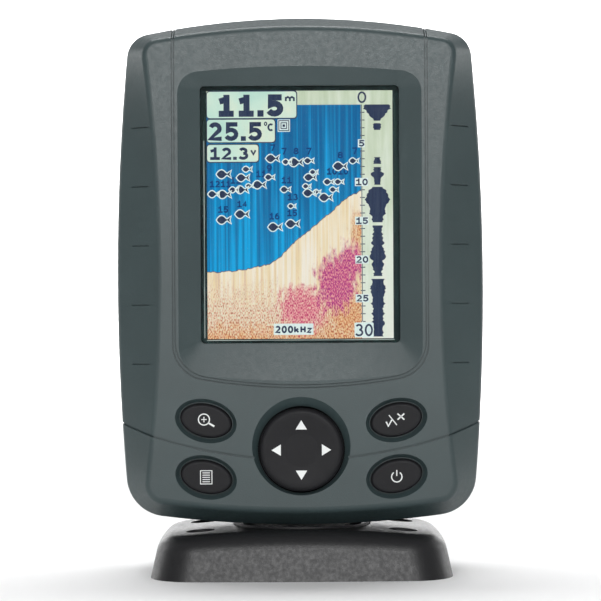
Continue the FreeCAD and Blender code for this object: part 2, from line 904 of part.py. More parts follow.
def disc_pivot():
    """The small gimbal inside the disc, with a level and an upright pair of trunnions."""
    body = node(new_body("nav_pivot"))
    extrude(body, "XZ", "stub_front_y", "stub_rear_y", (circle, 0, "disc_z", "stub_radius"))
    level = (circle, "trunnion_y", "disc_z", "trunnion_radius")
    upright = (circle, 0, "trunnion_y", "trunnion_radius")
    extrude(body, "YZ", "-trunnion_half", "trunnion_half", level)
    extrude(body, "XY", "disc_z - trunnion_half", "disc_z + trunnion_half", upright)


# ---- board ----------------------------------------------------------------------------------------


def switch_places():
    keys = [(f"{side} * key_x", height, "plunger_radius") for _, side, height in key_places()]
    posts = [(x, z, "disc_post_radius") for x, z in disc_posts()]
    return keys + posts


def keypad_mat():
    """A soft sheet behind the keys, with a clear hole round each plunger and post."""
    body = node(new_body("keypad_mat"))
    holes = [(circle, x, z, f"{radius} + mat_gap") for x, z, radius in switch_places()]
    sheet_ring = (rectangle, "-mat_half", "mat_low", "mat_half", "mat_high", "mat_round")
    extrude(body, "XZ", "mat_y", "mat_y + mat_thick", sheet_ring, *holes)


def main_board():
    board = node(new_body("main_board"))
    edge = (rectangle, "-board_half", "board_low", "board_half", "board_high", "board_round")
    extrude(board, "XZ", "board_y", "board_y + board_thick", edge, *board_circles("board_screw_radius"))
    domes = node(new_body("dome_switches"))
    dome_circles = [(circle, x, z, "dome_radius") for x, z, _ in switch_places()]
    extrude(domes, "XZ", "dome_y", "board_y", *dome_circles)


def on_board(name, high, *shapes):
    """Components that stand on the rear face of the board."""
    body = node(new_body(name))
    extrude(body, "XZ", BOARD_REAR, f"{BOARD_REAR} + {high}", *shapes)


def block(x, z, half_long, half_high, rounding=0):
    """A rectangle about a centre."""
    sides = (f"{x} - {half_long}", f"{z} - {half_high}", f"{x} + {half_long}", f"{z} + {half_high}")
    return rectangle, *sides, rounding


def board_parts():
    on_board("board_chips", "chip_high", *(block(*chip) for chip in CHIPS))
    transformer = ("transformer_x", "transformer_z", "transformer_half", "transformer_half", "block_round")
    on_board("sonar_transformer", "transformer_high", block(*transformer))
    cans = [(circle, "can_x", f"can_z + {step} * can_pitch", "can_radius") for step in (-1, 0, 1)]
    on_board("capacitors", "can_high", *cans)
    rings = [(circle, "buzzer_x", "buzzer_z", radius) for radius in ("buzzer_radius", "buzzer_hole")]
    on_board("buzzer", "buzzer_high", *rings)
    for kind, side in SOCKET_SIDES:
        plug = block(f"{side} * socket_x", "socket_z", "plug_half_long", "plug_half_high", "block_round")
        on_board(f"{kind}_connector", "plug_high", plug)


def screws(name, circles, seat, size):
    """Screws along Y, of one set of sizes: shanks from the tip to the seat, and heads behind them."""
    body = node(new_body(name))
    extrude(body, "XZ", f"{size}_tip_y", seat, *circles(f"{size}_radius"))
    extrude(body, "XZ", seat, f"{seat} + {size}_head_thick", *circles(f"{size}_head"))


# ---- sockets --------------------------------------------------------------------------------------


def socket(kind, side, pins):
    """A round socket through the rear wall, with its seal, nut, pins and the wires to the board."""
    x = f"{side} * socket_x"

    def ring(radius):
        return circle, x, "socket_z", radius

    contacts = [
        (f"{x} + pin_circle * {math.cos(turn):.4f}", f"socket_z + pin_circle * {math.sin(turn):.4f}")
        for turn in (math.tau * index / pins + math.pi / 4 for index in range(pins))
    ]
    shell = node(new_body(f"{kind}_socket"))
    flange_front = "rear_y + socket_seal_thick"
    extrude(shell, "XZ", "socket_front_y", "socket_rear_y", ring("socket_radius"))
    extrude(shell, "XZ", flange_front, f"{flange_front} + socket_flange_thick", ring("socket_flange"))
    pocket(shell, "XZ", "socket_floor_y", "socket_rear_y", ring("socket_bore"))
    pin_holes = [(circle, cx, cz, "pin_radius") for cx, cz in contacts]
    pocket(shell, "XZ", "socket_front_y", "socket_floor_y", *pin_holes)
    pins_body = node(new_body(f"{kind}_pins"))
    extrude(pins_body, "XZ", "socket_front_y", "pin_end_y", *pin_holes)
    seal = node(new_body(f"{kind}_socket_seal"))
    extrude(seal, "XZ", "rear_y", flange_front, ring("socket_flange"), ring("socket_radius"))
    nut = node(new_body(f"{kind}_socket_nut"))
    nut_rear = "rear_y - wall"
    extrude(nut, "XZ", f"{nut_rear} - socket_nut_thick", nut_rear, ring("socket_nut"), ring("socket_radius"))
    wires = node(new_body(f"{kind}_wires"))
    wire_rings = [(circle, cx, cz, "wire_radius") for cx, cz in contacts]
    extrude(wires, "XZ", f"{BOARD_REAR} + plug_high", "socket_front_y", *wire_rings)


# ---- gimbal ---------------------------------------------------------------------------------------


def mirrored_rings(name, inner, outer, *rings):
    """The same rings about the tilt axis on both sides of the middle."""
    body = node(new_body(name))
    extrude(body, "YZ", inner, outer, *rings)
    extrude(body, "YZ", f"-({outer})", f"-({inner})", *rings)


def swivel_turret():
    """A drum that turns in the base, its hub, and the two ears that carry the tilt pin."""
    body = node(new_body("swivel_turret"))
    extrude(body, "XY", "drum_low", "drum_top", (circle, 0, 0, "drum_radius"))
    extrude(body, "XY", "hub_low", "drum_low", (circle, 0, 0, "hub_radius"))
    foot_sides = ("tilt_y - ear_radius", "drum_top", "tilt_y + ear_radius", "tilt_z")
    for inner, outer in (("ear_inner", "ear_outer"), ("-ear_outer", "-ear_inner")):
        extrude(body, "YZ", inner, outer, (rectangle, *foot_sides))
        extrude(body, "YZ", inner, outer, tilt_circle("ear_radius"))
    pocket(body, "YZ", "-ear_outer", "ear_outer", tilt_circle("tilt_pin_radius"))
    pocket(body, "XY", "hub_low", "swivel_bolt_top", (circle, 0, 0, "swivel_bolt_radius"))


def tilt_parts():
    tilt_pin = node(new_body("tilt_pin"))
    extrude(tilt_pin, "YZ", "-tilt_pin_half", "tilt_pin_half", tilt_circle("tilt_pin_radius"))
    pin_ring = tilt_circle("tilt_pin_radius")
    mirrored_rings("pin_clips", "clip_inner", "clip_outer", tilt_circle("clip_radius"), pin_ring)
    mirrored_rings(
        "friction_washers", "friction_inner", "friction_outer", tilt_circle("friction_radius"), pin_ring
    )


def tilt_springs():
    """A dished spring washer on each side, its wide rim against the ear."""
    springs = node(new_body("tilt_springs"))
    place = ("tilt_y", "tilt_z")
    for side in MIRROR:
        rims = (
            (f"{side} * spring_inner", "spring_narrow", "spring_narrow - spring_thick"),
            (f"{side} * spring_outer", "spring_wide", "spring_wide - spring_thick"),
        )
        outside = [(level, (circle, 0, 0, outer), place, None) for level, outer, _ in rims]
        inside = [(level, (circle, 0, 0, inner), place, None) for level, _, inner in rims]
        loft(springs, "YZ", *outside)
        loft(springs, "YZ", *inside, cut=True)


def swivel_parts():
    bolt = node(new_body("swivel_bolt"))
    extrude(bolt, "XY", "swivel_bolt_low", "swivel_bolt_seat", (circle, 0, 0, "swivel_bolt_head"))
    extrude(bolt, "XY", "swivel_bolt_seat", "swivel_bolt_top", (circle, 0, 0, "swivel_bolt_radius"))
    shank = (circle, 0, 0, "swivel_bolt_radius")
    washer = node(new_body("swivel_washer"))
    extrude(washer, "XY", "swivel_washer_low", "hub_low", (circle, 0, 0, "swivel_washer"), shank)
    spring = node(new_body("swivel_spring_washer"))
    extrude(spring, "XY", "swivel_bolt_seat", "swivel_washer_low", (circle, 0, 0, "spring_washer"), shank)


# ---- base -----------------------------------------------------------------------------------------


def base_outline(drawing, inset_x=0, inset_y=0, round_less=0):
    """The base's plan, drawn in from the sides and from the front and rear."""
    half, deep = f"base_half - ({inset_x})", f"base_half_deep - ({inset_y})"
    rounding = f"base_round - ({round_less})"
    outline(
        drawing,
        (f"-({half})", f"-({deep})", rounding, "base_front_bend"),
        (half, f"-({deep})", rounding, "base_end_bend"),
        (half, deep, rounding, "base_front_bend"),
        (f"-({half})", deep, rounding, "base_end_bend"),
    )


def four_circles(x, y, radius):
    return [(circle, f"{side_x} * {x}", f"{side_y} * {y}", radius) for side_x in MIRROR for side_y in MIRROR]


def crown_section(drawing):
    """What lies above the crowned top, seen from the front."""
    half, edge, above = "base_half + base_wall", "base_crown_edge", "base_high + base_wall"
    outline(
        drawing,
        (f"-({half})", edge, 0, "-base_crown"),
        (half, edge, 0, 0),
        (half, above, 0, 0),
        (f"-({half})", above, 0, 0),
    )


def round_crown_edge(body):
    """Round the edge between the crowned top and the sloping sides."""
    doc.recompute()
    base = body.Tip
    middle_height = number("base_high / 2")
    names = [
        f"Edge{index}"
        for index, edge in enumerate(base.Shape.Edges, 1)
        if all(vertex.Z > middle_height for vertex in edge.Vertexes)
    ]
    feature = body.newObject("PartDesign::Fillet", "Fillet")
    feature.Base = (base, names)
    feature.setExpression("Radius", bound("base_edge_round"))
    doc.recompute()


def base_shell():
    body = node(new_body("base_shell"))
    loft(
        body,
        "XY",
        (0, (base_outline,), (0, 0), None),
        ("base_high", (base_outline, "base_slope_side", "base_slope_front"), (0, 0), None),
    )
    pocket(body, "XZ", "-base_half_deep * 2", "base_half_deep * 2", (crown_section,))
    round_crown_edge(body)
    fixings = ("fixing_x", "fixing_y")
    plate_screws = ("plate_screw_x", "plate_screw_y")
    pocket(body, "XY", "base_floor_top", "base_high", (circle, 0, 0, "recess_radius"))
    pocket(body, "XY", 0, "base_floor_top", (circle, 0, 0, "hub_bore"))
    pocket(body, "XY", "fixing_bore_low", "base_high", *four_circles(*fixings, "fixing_bore"))
    pocket(body, "XY", 0, "fixing_bore_low", *four_circles(*fixings, "fixing_radius"))
    pocket(body, "XY", 0, "plate_screw_top", *four_circles(*plate_screws, "plate_screw_radius"))
    lower_hollow = (base_outline, "base_wall", "base_wall", "base_wall")
    fixing_pillars = four_circles(*fixings, "fixing_pillar")
    screw_pillars = four_circles(*plate_screws, "plate_screw_pillar")
    pocket(body, "XY", 0, "plate_thick", lower_hollow)
    pocket(body, "XY", "plate_thick", "base_floor_low", lower_hollow, *fixing_pillars, *screw_pillars)
    upper_hollow = (base_outline, "upper_hollow_inset", "upper_hollow_inset", "upper_hollow_inset / 2")
    inner_wall = (circle, 0, 0, "recess_radius + recess_wall")
    pocket(body, "XY", "base_floor_low", "base_floor_top", upper_hollow, inner_wall, *fixing_pillars)


def base_plate():
    plate = node(new_body("base_plate"))
    plate_edge = "base_wall + plate_gap"
    holes = four_circles("fixing_x", "fixing_y", "fixing_radius")
    screw_places = ("plate_screw_x", "plate_screw_y")
    screw_holes = four_circles(*screw_places, "plate_screw_radius + plate_gap")
    plate_ring = (base_outline, plate_edge, plate_edge, plate_edge)
    extrude(plate, "XY", 0, "plate_thick", plate_ring, *holes, *screw_holes)
    sinks = four_circles(*screw_places, "plate_screw_head + plate_gap")
    pocket(plate, "XY", 0, "plate_sink", *sinks)
    screws_body = node(new_body("base_plate_screws"))
    extrude(screws_body, "XY", "plate_gap", "plate_sink", *four_circles(*screw_places, "plate_screw_head"))
    shank_circles = four_circles(*screw_places, "plate_screw_radius")
    extrude(screws_body, "XY", "plate_sink", "plate_screw_top", *shank_circles)


# ---- the whole model ------------------------------------------------------------------------------


def build():
    front_housing()
    housing_seal()
    rear_housing()
    screen_parts()
    flex_cable()
    for name, side, height in key_places():
        key(name, side, height)
    disc()
    disc_pivot()
    keypad_mat()
    main_board()
    board_parts()
    screws("board_screws", board_circles, BOARD_REAR, "board_screw")
    screws("housing_screws", housing_circles, "screw_seat_y", "screw")
    for kind, side in SOCKET_SIDES:
        socket(kind, side, PIN_COUNTS[kind])
    swivel_turret()
    tilt_parts()
    tilt_springs()
    swivel_parts()
    base_shell()
    base_plate()


def check():
    """Stop if any object failed, or any sub-part has no valid shape."""
    doc.recompute()
    for item in doc.Objects:
        if "Invalid" in item.State or "Error" in item.State:
            raise RuntimeError(f"{item.Label} ({item.Name}): {item.State}")
    for item in doc.findObjects("PartDesign::Pocket"):
        if item.Shape.Volume >= item.BaseFeature.Shape.Volume:
            raise RuntimeError(f"{item.getParentGeoFeatureGroup().Label}: {item.Name} cuts nothing")
    for item in nodes:
        if item.Shape.isNull() or not item.Shape.isValid() or not item.Shape.Solids:
            raise RuntimeError(f"{item.Label}: no valid solid")


def export():
    os.makedirs("parts", exist_ok=True)
    for item in nodes:
        item.Shape.exportStep(f"parts/{item.Label}.step")


build()
check()
export()
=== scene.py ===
import json
import math
import random

import bmesh
import bpy
from mathutils import Matrix, Vector


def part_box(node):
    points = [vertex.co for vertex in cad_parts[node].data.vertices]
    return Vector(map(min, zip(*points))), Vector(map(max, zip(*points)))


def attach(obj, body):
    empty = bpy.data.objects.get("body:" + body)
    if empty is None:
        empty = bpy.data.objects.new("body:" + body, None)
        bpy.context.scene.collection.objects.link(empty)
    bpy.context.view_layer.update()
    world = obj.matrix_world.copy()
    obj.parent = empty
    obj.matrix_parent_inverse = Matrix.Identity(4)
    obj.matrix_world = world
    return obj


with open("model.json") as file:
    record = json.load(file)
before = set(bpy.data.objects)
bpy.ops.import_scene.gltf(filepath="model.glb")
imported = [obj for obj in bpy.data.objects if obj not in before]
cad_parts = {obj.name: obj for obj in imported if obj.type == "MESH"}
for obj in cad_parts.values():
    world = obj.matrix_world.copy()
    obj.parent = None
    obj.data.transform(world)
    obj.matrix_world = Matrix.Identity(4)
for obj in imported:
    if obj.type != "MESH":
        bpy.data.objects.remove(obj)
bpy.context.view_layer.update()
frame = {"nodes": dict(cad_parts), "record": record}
NODES = frame["nodes"]
MM = 0.001

# ---- camera and studio ----------------------------------------------------------------------------

CAMERA_DISTANCE = 0.620
CAMERA_HEIGHT = 0.0778
CAMERA_ROLL = math.radians(-0.33)
CAMERA_LENS = 127.7
CAMERA_SENSOR = 36
MIDDLE = (0, 0, 0.08)
# Each light's name, place, aim, size, watts and spread in degrees.
LIGHTS = (
    ("key", (0.0, -1.15, 0.44), MIDDLE, (0.9, 0.30), 10, 180),
    ("backdrop", (0.0, 0.9, 1.1), (0, 1.5, 0.2), (2.4, 0.4), 30, 110),
    ("overhead", (0.0, 0.30, 1.3), (0, 0.15, 0), (1.2, 0.3), 6, 120),
    ("rim_-1", (-0.85, 0.50, 0.2), MIDDLE, (0.25, 0.6), 2.0, 180),
    ("rim_1", (0.85, 0.50, 0.2), MIDDLE, (0.25, 0.6), 2.0, 180),
)
SKY_COLOUR = (0.97, 0.98, 1.0, 1)
SKY_STRENGTH = 0.28
FLOOR_HALF = 2.5
FLOOR_RISE_START = 0.9
FLOOR_BEND_RADIUS = 0.6
BACKDROP_HIGH = 1.6
BACKDROP_BEND_STEPS = 12


def add_camera():
    """A long lens straight in front of the screen, level with the middle of the object."""
    data = bpy.data.cameras.new("camera")
    data.lens = CAMERA_LENS
    data.sensor_width = CAMERA_SENSOR
    data.clip_start = 0.01
    camera = bpy.data.objects.new("camera", data)
    bpy.context.scene.collection.objects.link(camera)
    forward = Matrix.Rotation(math.radians(90), 4, "X")
    roll = Matrix.Rotation(CAMERA_ROLL, 4, "Z")
    camera.matrix_world = Matrix.Translation((0, -CAMERA_DISTANCE, CAMERA_HEIGHT)) @ forward @ roll
    bpy.context.scene.camera = camera


def add_light(name, place, aim, size, power, spread):
    """A soft rectangular light that looks at a point."""
    data = bpy.data.lights.new(name, "AREA")
    data.shape = "RECTANGLE"
    data.size, data.size_y = size
    data.energy = power
    data.spread = math.radians(spread)
    light = bpy.data.objects.new(name, data)
    bpy.context.scene.collection.objects.link(light)
    light.location = place
    light.rotation_euler = (Vector(aim) - Vector(place)).to_track_quat("-Z", "Y").to_euler()


def add_studio():
    """A pale floor that curves up far behind, one soft light in front and above, and dim sides."""
    for light in LIGHTS:
        add_light(*light)
    world = bpy.data.worlds.new("studio")
    world.use_nodes = True
    background = world.node_tree.nodes["Background"]
    background.inputs["Color"].default_value = SKY_COLOUR
    background.inputs["Strength"].default_value = SKY_STRENGTH
    bpy.context.scene.world = world
    bpy.context.scene.view_settings.view_transform = "Standard"
    profile = [(-FLOOR_HALF, 0.0), (FLOOR_RISE_START, 0.0)]
    for step in range(1, BACKDROP_BEND_STEPS + 1):
        turn = math.pi / 2 * step / BACKDROP_BEND_STEPS
        profile.append((FLOOR_RISE_START + FLOOR_BEND_RADIUS * math.sin(turn),
                        FLOOR_BEND_RADIUS * (1 - math.cos(turn))))
    profile.append((FLOOR_RISE_START + FLOOR_BEND_RADIUS, BACKDROP_HIGH))
    mesh = bpy.data.meshes.new("backdrop")
    points = [(side * FLOOR_HALF, y, z) for y, z in profile for side in (-1, 1)]
    faces = [(2 * row, 2 * row + 1, 2 * row + 3, 2 * row + 2) for row in range(len(profile) - 1)]
    mesh.from_pydata(points, [], faces)
    mesh.shade_smooth()
    floor = bpy.data.objects.new("backdrop", mesh)
    bpy.context.scene.collection.objects.link(floor)
    floor.data.materials.append(paper_material())


# ---- materials ------------------------------------------------------------------------------------


class Shader:
    """A material's node tree, with short calls for the nodes that the finishes share."""

    def __init__(self, name):
        self.material = bpy.data.materials.new(name)
        self.material.use_nodes = True
        self.nodes = self.material.node_tree.nodes
        self.links = self.material.node_tree.links
        self.surface = self.nodes["Principled BSDF"]
        self.place = self.nodes.new("ShaderNodeTexCoord").outputs["Object"]

    def set(self, **values):
        """Fixed values of the surface's inputs, with _ for the spaces in their names."""
        for name, value in values.items():
            self.surface.inputs[name.replace("_", " ")].default_value = value

    def stretched(self, scale):
        """The position, scaled differently along each axis."""
        node = self.nodes.new("ShaderNodeMapping")
        node.inputs["Scale"].default_value = scale
        self.links.new(self.place, node.inputs["Vector"])
        return node.outputs["Vector"]

    def noise(self, scale, detail=3, vector=None):
        """A cloudy factor, by the position in the object or by another vector."""
        node = self.nodes.new("ShaderNodeTexNoise")
        node.inputs["Scale"].default_value = scale
        node.inputs["Detail"].default_value = detail
        self.links.new(vector or self.place, node.inputs["Vector"])
        return node.outputs["Fac"]

    def ramp(self, factor, *stops):
        """Colours, or grey levels, by a factor: each stop is a position and a value."""
        node = self.nodes.new("ShaderNodeValToRGB")
        points = node.color_ramp.elements
        while len(points) < len(stops):
            points.new(0.5)
        for point, (position, value) in zip(points, stops):
            point.position = position
            point.color = (*value, 1) if isinstance(value, tuple) else (value, value, value, 1)
        self.links.new(factor, node.inputs["Fac"])
        return node.outputs["Color"]

    def mix(self, factor, first, second):
        """The first colour, turning into the second as the factor rises."""
        node = self.nodes.new("ShaderNodeMix")
        node.data_type = "RGBA"
        for socket, value in ((node.inputs[0], factor), (node.inputs[6], first), (node.inputs[7], second)):
            if isinstance(value, (tuple, float, int)):
                socket.default_value = (*value, 1) if isinstance(value, tuple) else value
            else:
                self.links.new(value, socket)
        return node.outputs[2]

    def add(self, first, second, weight):
        """The first factor plus a weighted second."""
        node = self.nodes.new("ShaderNodeMath")
        node.operation = "MULTIPLY_ADD"
        self.links.new(second, node.inputs[0])
        node.inputs[1].default_value = weight
        self.links.new(first, node.inputs[2])
        return node.outputs[0]

    def span(self, value, low, high):
        """A factor from 0 where a value is low to 1 where it is high."""
        node = self.nodes.new("ShaderNodeMapRange")
        node.inputs["From Min"].default_value = low
        node.inputs["From Max"].default_value = high
        self.links.new(value, node.inputs["Value"])
        return node.outputs["Result"]

    def height(self, low, high):
        """A factor from 0 at one height to 1 at another."""
        parts = self.nodes.new("ShaderNodeSeparateXYZ")
        self.links.new(self.place, parts.inputs["Vector"])
        return self.span(parts.outputs["Z"], low, high)

    def blob(self, centre, reach):
        """A factor of 1 at a point (x, z), down to 0 at the reach across and up from it."""
        node = self.nodes.new("ShaderNodeMapping")
        node.vector_type = "TEXTURE"
        node.inputs["Location"].default_value = (centre[0], 0, centre[1])
        node.inputs["Scale"].default_value = (reach[0], 1000, reach[1])
        self.links.new(self.place, node.inputs["Vector"])
        far = self.nodes.new("ShaderNodeVectorMath")
        far.operation = "LENGTH"
        self.links.new(node.outputs["Vector"], far.inputs[0])
        return self.span(far.outputs["Value"], 1.0, 0.0)

    def link(self, value, name):
        """Drive one of the surface's inputs."""
        self.links.new(value, self.surface.inputs[name])

    def bump(self, height, distance):
        """Fine relief of a height field, whose full depth is a distance."""
        node = self.nodes.new("ShaderNodeBump")
        node.inputs["Distance"].default_value = distance
        node.inputs["Strength"].default_value = 1.0
        self.links.new(height, node.inputs["Height"])
        self.links.new(node.outputs["Normal"], self.surface.inputs["Normal"])


def shade(colour, factor):
    return tuple(part * factor for part in colour)


def moulded(name, colour, roughness, grain=2600, relief=0.00003, mottle=0.06, gloss=0.5):
    """Moulded plastic with a fine spark-eroded texture and slightly uneven tone."""
    shader = Shader(name)
    tone = shader.noise(55, 4)
    tones = shader.ramp(tone, (0.3, shade(colour, 1 - mottle)), (0.7, shade(colour, 1 + mottle)))
    shader.link(tones, "Base Color")
    patches = shader.noise(900, 2)
    shader.link(shader.ramp(patches, (0.3, roughness - 0.05), (0.7, roughness + 0.06)), "Roughness")
    shader.set(Specular_IOR_Level=gloss)
    shader.bump(shader.noise(grain, 2), relief)
    return shader.material


def paper_material():
    """Matt white paper, a little uneven."""
    shader = Shader("backdrop_paper")
    shader.link(shader.ramp(shader.noise(6), (0.3, 0.80), (0.7, 0.84)), "Base Color")
    shader.set(Roughness=0.9, Specular_IOR_Level=0.1)
    return shader.material


def metal_material(name, colour, roughness, stretch):
    """Metal with fine marks drawn out along one axis."""
    shader = Shader(name)
    marks = shader.noise(1, 3, shader.stretched(stretch))
    shader.link(shader.ramp(marks, (0.3, shade(colour, 0.8)), (0.7, shade(colour, 1.1))), "Base Color")
    shader.link(shader.ramp(marks, (0.3, roughness - 0.08), (0.7, roughness + 0.1)), "Roughness")
    shader.set(Metallic=1.0)
    shader.bump(marks, 0.00001)
    return shader.material


def window_material():
    """Clear hard-coated acrylic with the faintest haze."""
    shader = Shader("clear_window")
    tint = shader.ramp(shader.noise(300), (0.3, (0.95, 0.98, 0.97)), (0.7, (0.98, 1.0, 0.99)))
    shader.link(tint, "Base Color")
    haze = shader.ramp(shader.noise(60), (0.4, 0.0), (0.7, 0.02))
    shader.link(haze, "Roughness")
    shader.set(Transmission_Weight=1.0, IOR=1.3)
    return shader.material


def board_material():
    """Green solder mask over a net of copper tracks."""
    shader = Shader("solder_mask")
    tracks = shader.noise(1, 0, shader.stretched((900, 1, 60)))
    colour = shader.ramp(tracks, (0.46, (0.012, 0.10, 0.045)), (0.52, (0.03, 0.20, 0.08)))
    shader.link(colour, "Base Color")
    shader.set(Roughness=0.35)
    shader.bump(tracks, 0.00003)
    return shader.material


def glow(name, colours, streaks=(1400, 1, 90), stops=(0.35, 0.5, 0.65), detail=3, depth=None, contrast=2.0):
    """Lit picture colour in fine streaks. With a depth, a pair of heights, it also changes between them."""
    shader = Shader(name)
    factor = shader.noise(1, detail, shader.stretched(streaks))
    if depth:
        middle = contrast / 2
        streaked = shader.add(shader.height(*depth), factor, contrast)
        factor = shader.span(streaked, middle - 0.4, middle + 1.4)
    return lit(shader, shader.ramp(factor, *zip(stops, colours)))


def lit(shader, colour):
    """A layer of the display: it gives out the colour, and is nearly black when unlit."""
    shader.link(colour, "Emission Color")
    shader.set(Base_Color=(0.006, 0.006, 0.006, 1), Emission_Strength=0.94)
    shader.set(Roughness=0.6, Specular_IOR_Level=0.05)
    return shader.material


HOUSING_GREEN = (0.032, 0.050, 0.052)
MOUNT_BLACK = (0.010, 0.010, 0.011)
KEY_BLACK = (0.012, 0.012, 0.0135)
INK_WHITE = (0.72, 0.74, 0.73)
PANEL_BLACK = (0.010, 0.030, 0.030)


def make_finishes():
    """One procedural finish for each material slot of the record."""
    return {
        "housing": moulded("moulded_green_grey", HOUSING_GREEN, 0.42),
        "seal_rubber": moulded("seal_rubber", (0.012, 0.012, 0.012), 0.7),
        "window": window_material(),
        "display": moulded("panel_black", PANEL_BLACK, 0.5, grain=900, relief=0.000001, gloss=0.08),
        "diffuser": moulded("diffuser_white", (0.75, 0.77, 0.77), 0.5),
        "steel": metal_material("zinc_plate", (0.55, 0.55, 0.53), 0.32, (2500, 300, 300)),
        "flex_film": moulded("amber_film", (0.45, 0.18, 0.03), 0.3),
        "key_rubber": moulded("key_rubber", KEY_BLACK, 0.5, grain=3200, relief=0.00001, gloss=0.16),
        "mount_plastic": moulded("moulded_black", MOUNT_BLACK, 0.42, gloss=0.42),
        "socket_plastic": moulded("socket_black", (0.014, 0.014, 0.015), 0.38, relief=0.00001),
        "contact_brass": metal_material("contact_brass", (0.75, 0.55, 0.25), 0.25, (300, 2500, 300)),
        "board": board_material(),
        "component": moulded("component_black", (0.02, 0.02, 0.022), 0.4),
        "wire": moulded("wire_red", (0.25, 0.02, 0.015), 0.35),
    }


def dress_nodes(finishes):
    """Give every CAD node the finish of its slot."""
    for entry in frame["record"]["subparts"]:
        node = NODES[entry["node"]]
        node.data.materials.clear()
        node.data.materials.append(finishes[entry["material_slot"]])


# ---- mesh helpers ---------------------------------------------------------------------------------


def add_piece(name, mesh, material, body):
    """A visual piece that rides on a body."""
    piece = bpy.data.objects.new(name, mesh)
    bpy.context.scene.collection.objects.link(piece)
    mesh.materials.append(material)
    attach(piece, body)
    return piece


SHARPEST_MITRE = 0.6


class Relief:
    """A mesh of thin closed shapes, seen from the front, in front of a rear level."""

    def __init__(self, rear, thick):
        """The rear level is a Y, or a function of x and z that gives it."""
        self.rear = rear if callable(rear) else lambda x, z: rear
        self.thick = thick
        self.builder = bmesh.new()

    def column(self, point):
        """A front and a rear vertex at one place."""
        x, z = point
        rear = self.rear(x, z)
        return self.builder.verts.new((x, rear - self.thick, z)), self.builder.verts.new((x, rear, z))

    def ring(self, points):
        """A filled outline."""
        columns = [self.column(point) for point in points]
        self.builder.faces.new([front for front, _ in columns])
        self.builder.faces.new([back for _, back in reversed(columns)])
        for (front, back), (next_front, next_back) in zip(columns, columns[1:] + columns[:1]):
            self.builder.faces.new((front, back, next_back, next_front))

    def stroke(self, points, wide, closed=False):
        """A line of even width along a path, mitred at its bends."""
        path = [Vector(point) for point in points]
        sections = []
        last = len(path) - 1
        for index, here in enumerate(path):
            ways = []
            if closed or index > 0:
                ways.append((here - path[index - 1]).normalized())
            if closed or index < last:
                ways.append((path[(index + 1) % len(path)] - here).normalized())
            along = sum(ways, Vector((0, 0))).normalized()
            side = Vector((-along.y, along.x))
            turn = max(SHARPEST_MITRE, side.dot(Vector((-ways[0].y, ways[0].x))))
            left, right = [self.column(here + side * reach * wide / 2 / turn) for reach in (1, -1)]
            sections.append((left[0], right[0], right[1], left[1]))
        for index in range(len(sections) if closed else last):
            first, second = sections[index], sections[(index + 1) % len(sections)]
            for step in range(4):
                after = (step + 1) % 4
                self.builder.faces.new((first[step], first[after], second[after], second[step]))
        if not closed:
            self.builder.faces.new(sections[0])
            self.builder.faces.new(sections[-1])

    def mesh(self, name):
        """The finished mesh, with its faces outward."""
        bmesh.ops.recalc_face_normals(self.builder, faces=self.builder.faces)
        mesh = bpy.data.meshes.new(name)
        self.builder.to_mesh(mesh)
        self.builder.free()
        return mesh


def rounded_ring(left, low, right, high, radius, steps=5):
    """A rounded rectangle, anticlockwise."""
    centres = ((right - radius, low + radius), (right - radius, high - radius),
               (left + radius, high - radius), (left + radius, low + radius))
    ring = []
    for quarter, centre in enumerate(centres):
        ring += arc(centre, (radius, radius), 90 * (quarter - 1), 90 * quarter, steps)
    return ring


def arc(centre, radii, start, end, steps=12):
    """Points along an arc of an ellipse, with angles in degrees from +X towards +Z."""
    turns = [math.radians(start + (end - start) * step / steps) for step in range(steps + 1)]
    x, z = centre
    wide, high = radii
    return [(x + wide * math.cos(turn), z + high * math.sin(turn)) for turn in turns]


def oval(centre, radii, steps=20):
    """Points round an ellipse."""
    return arc(centre, radii, 0, 360, steps)[:-1]


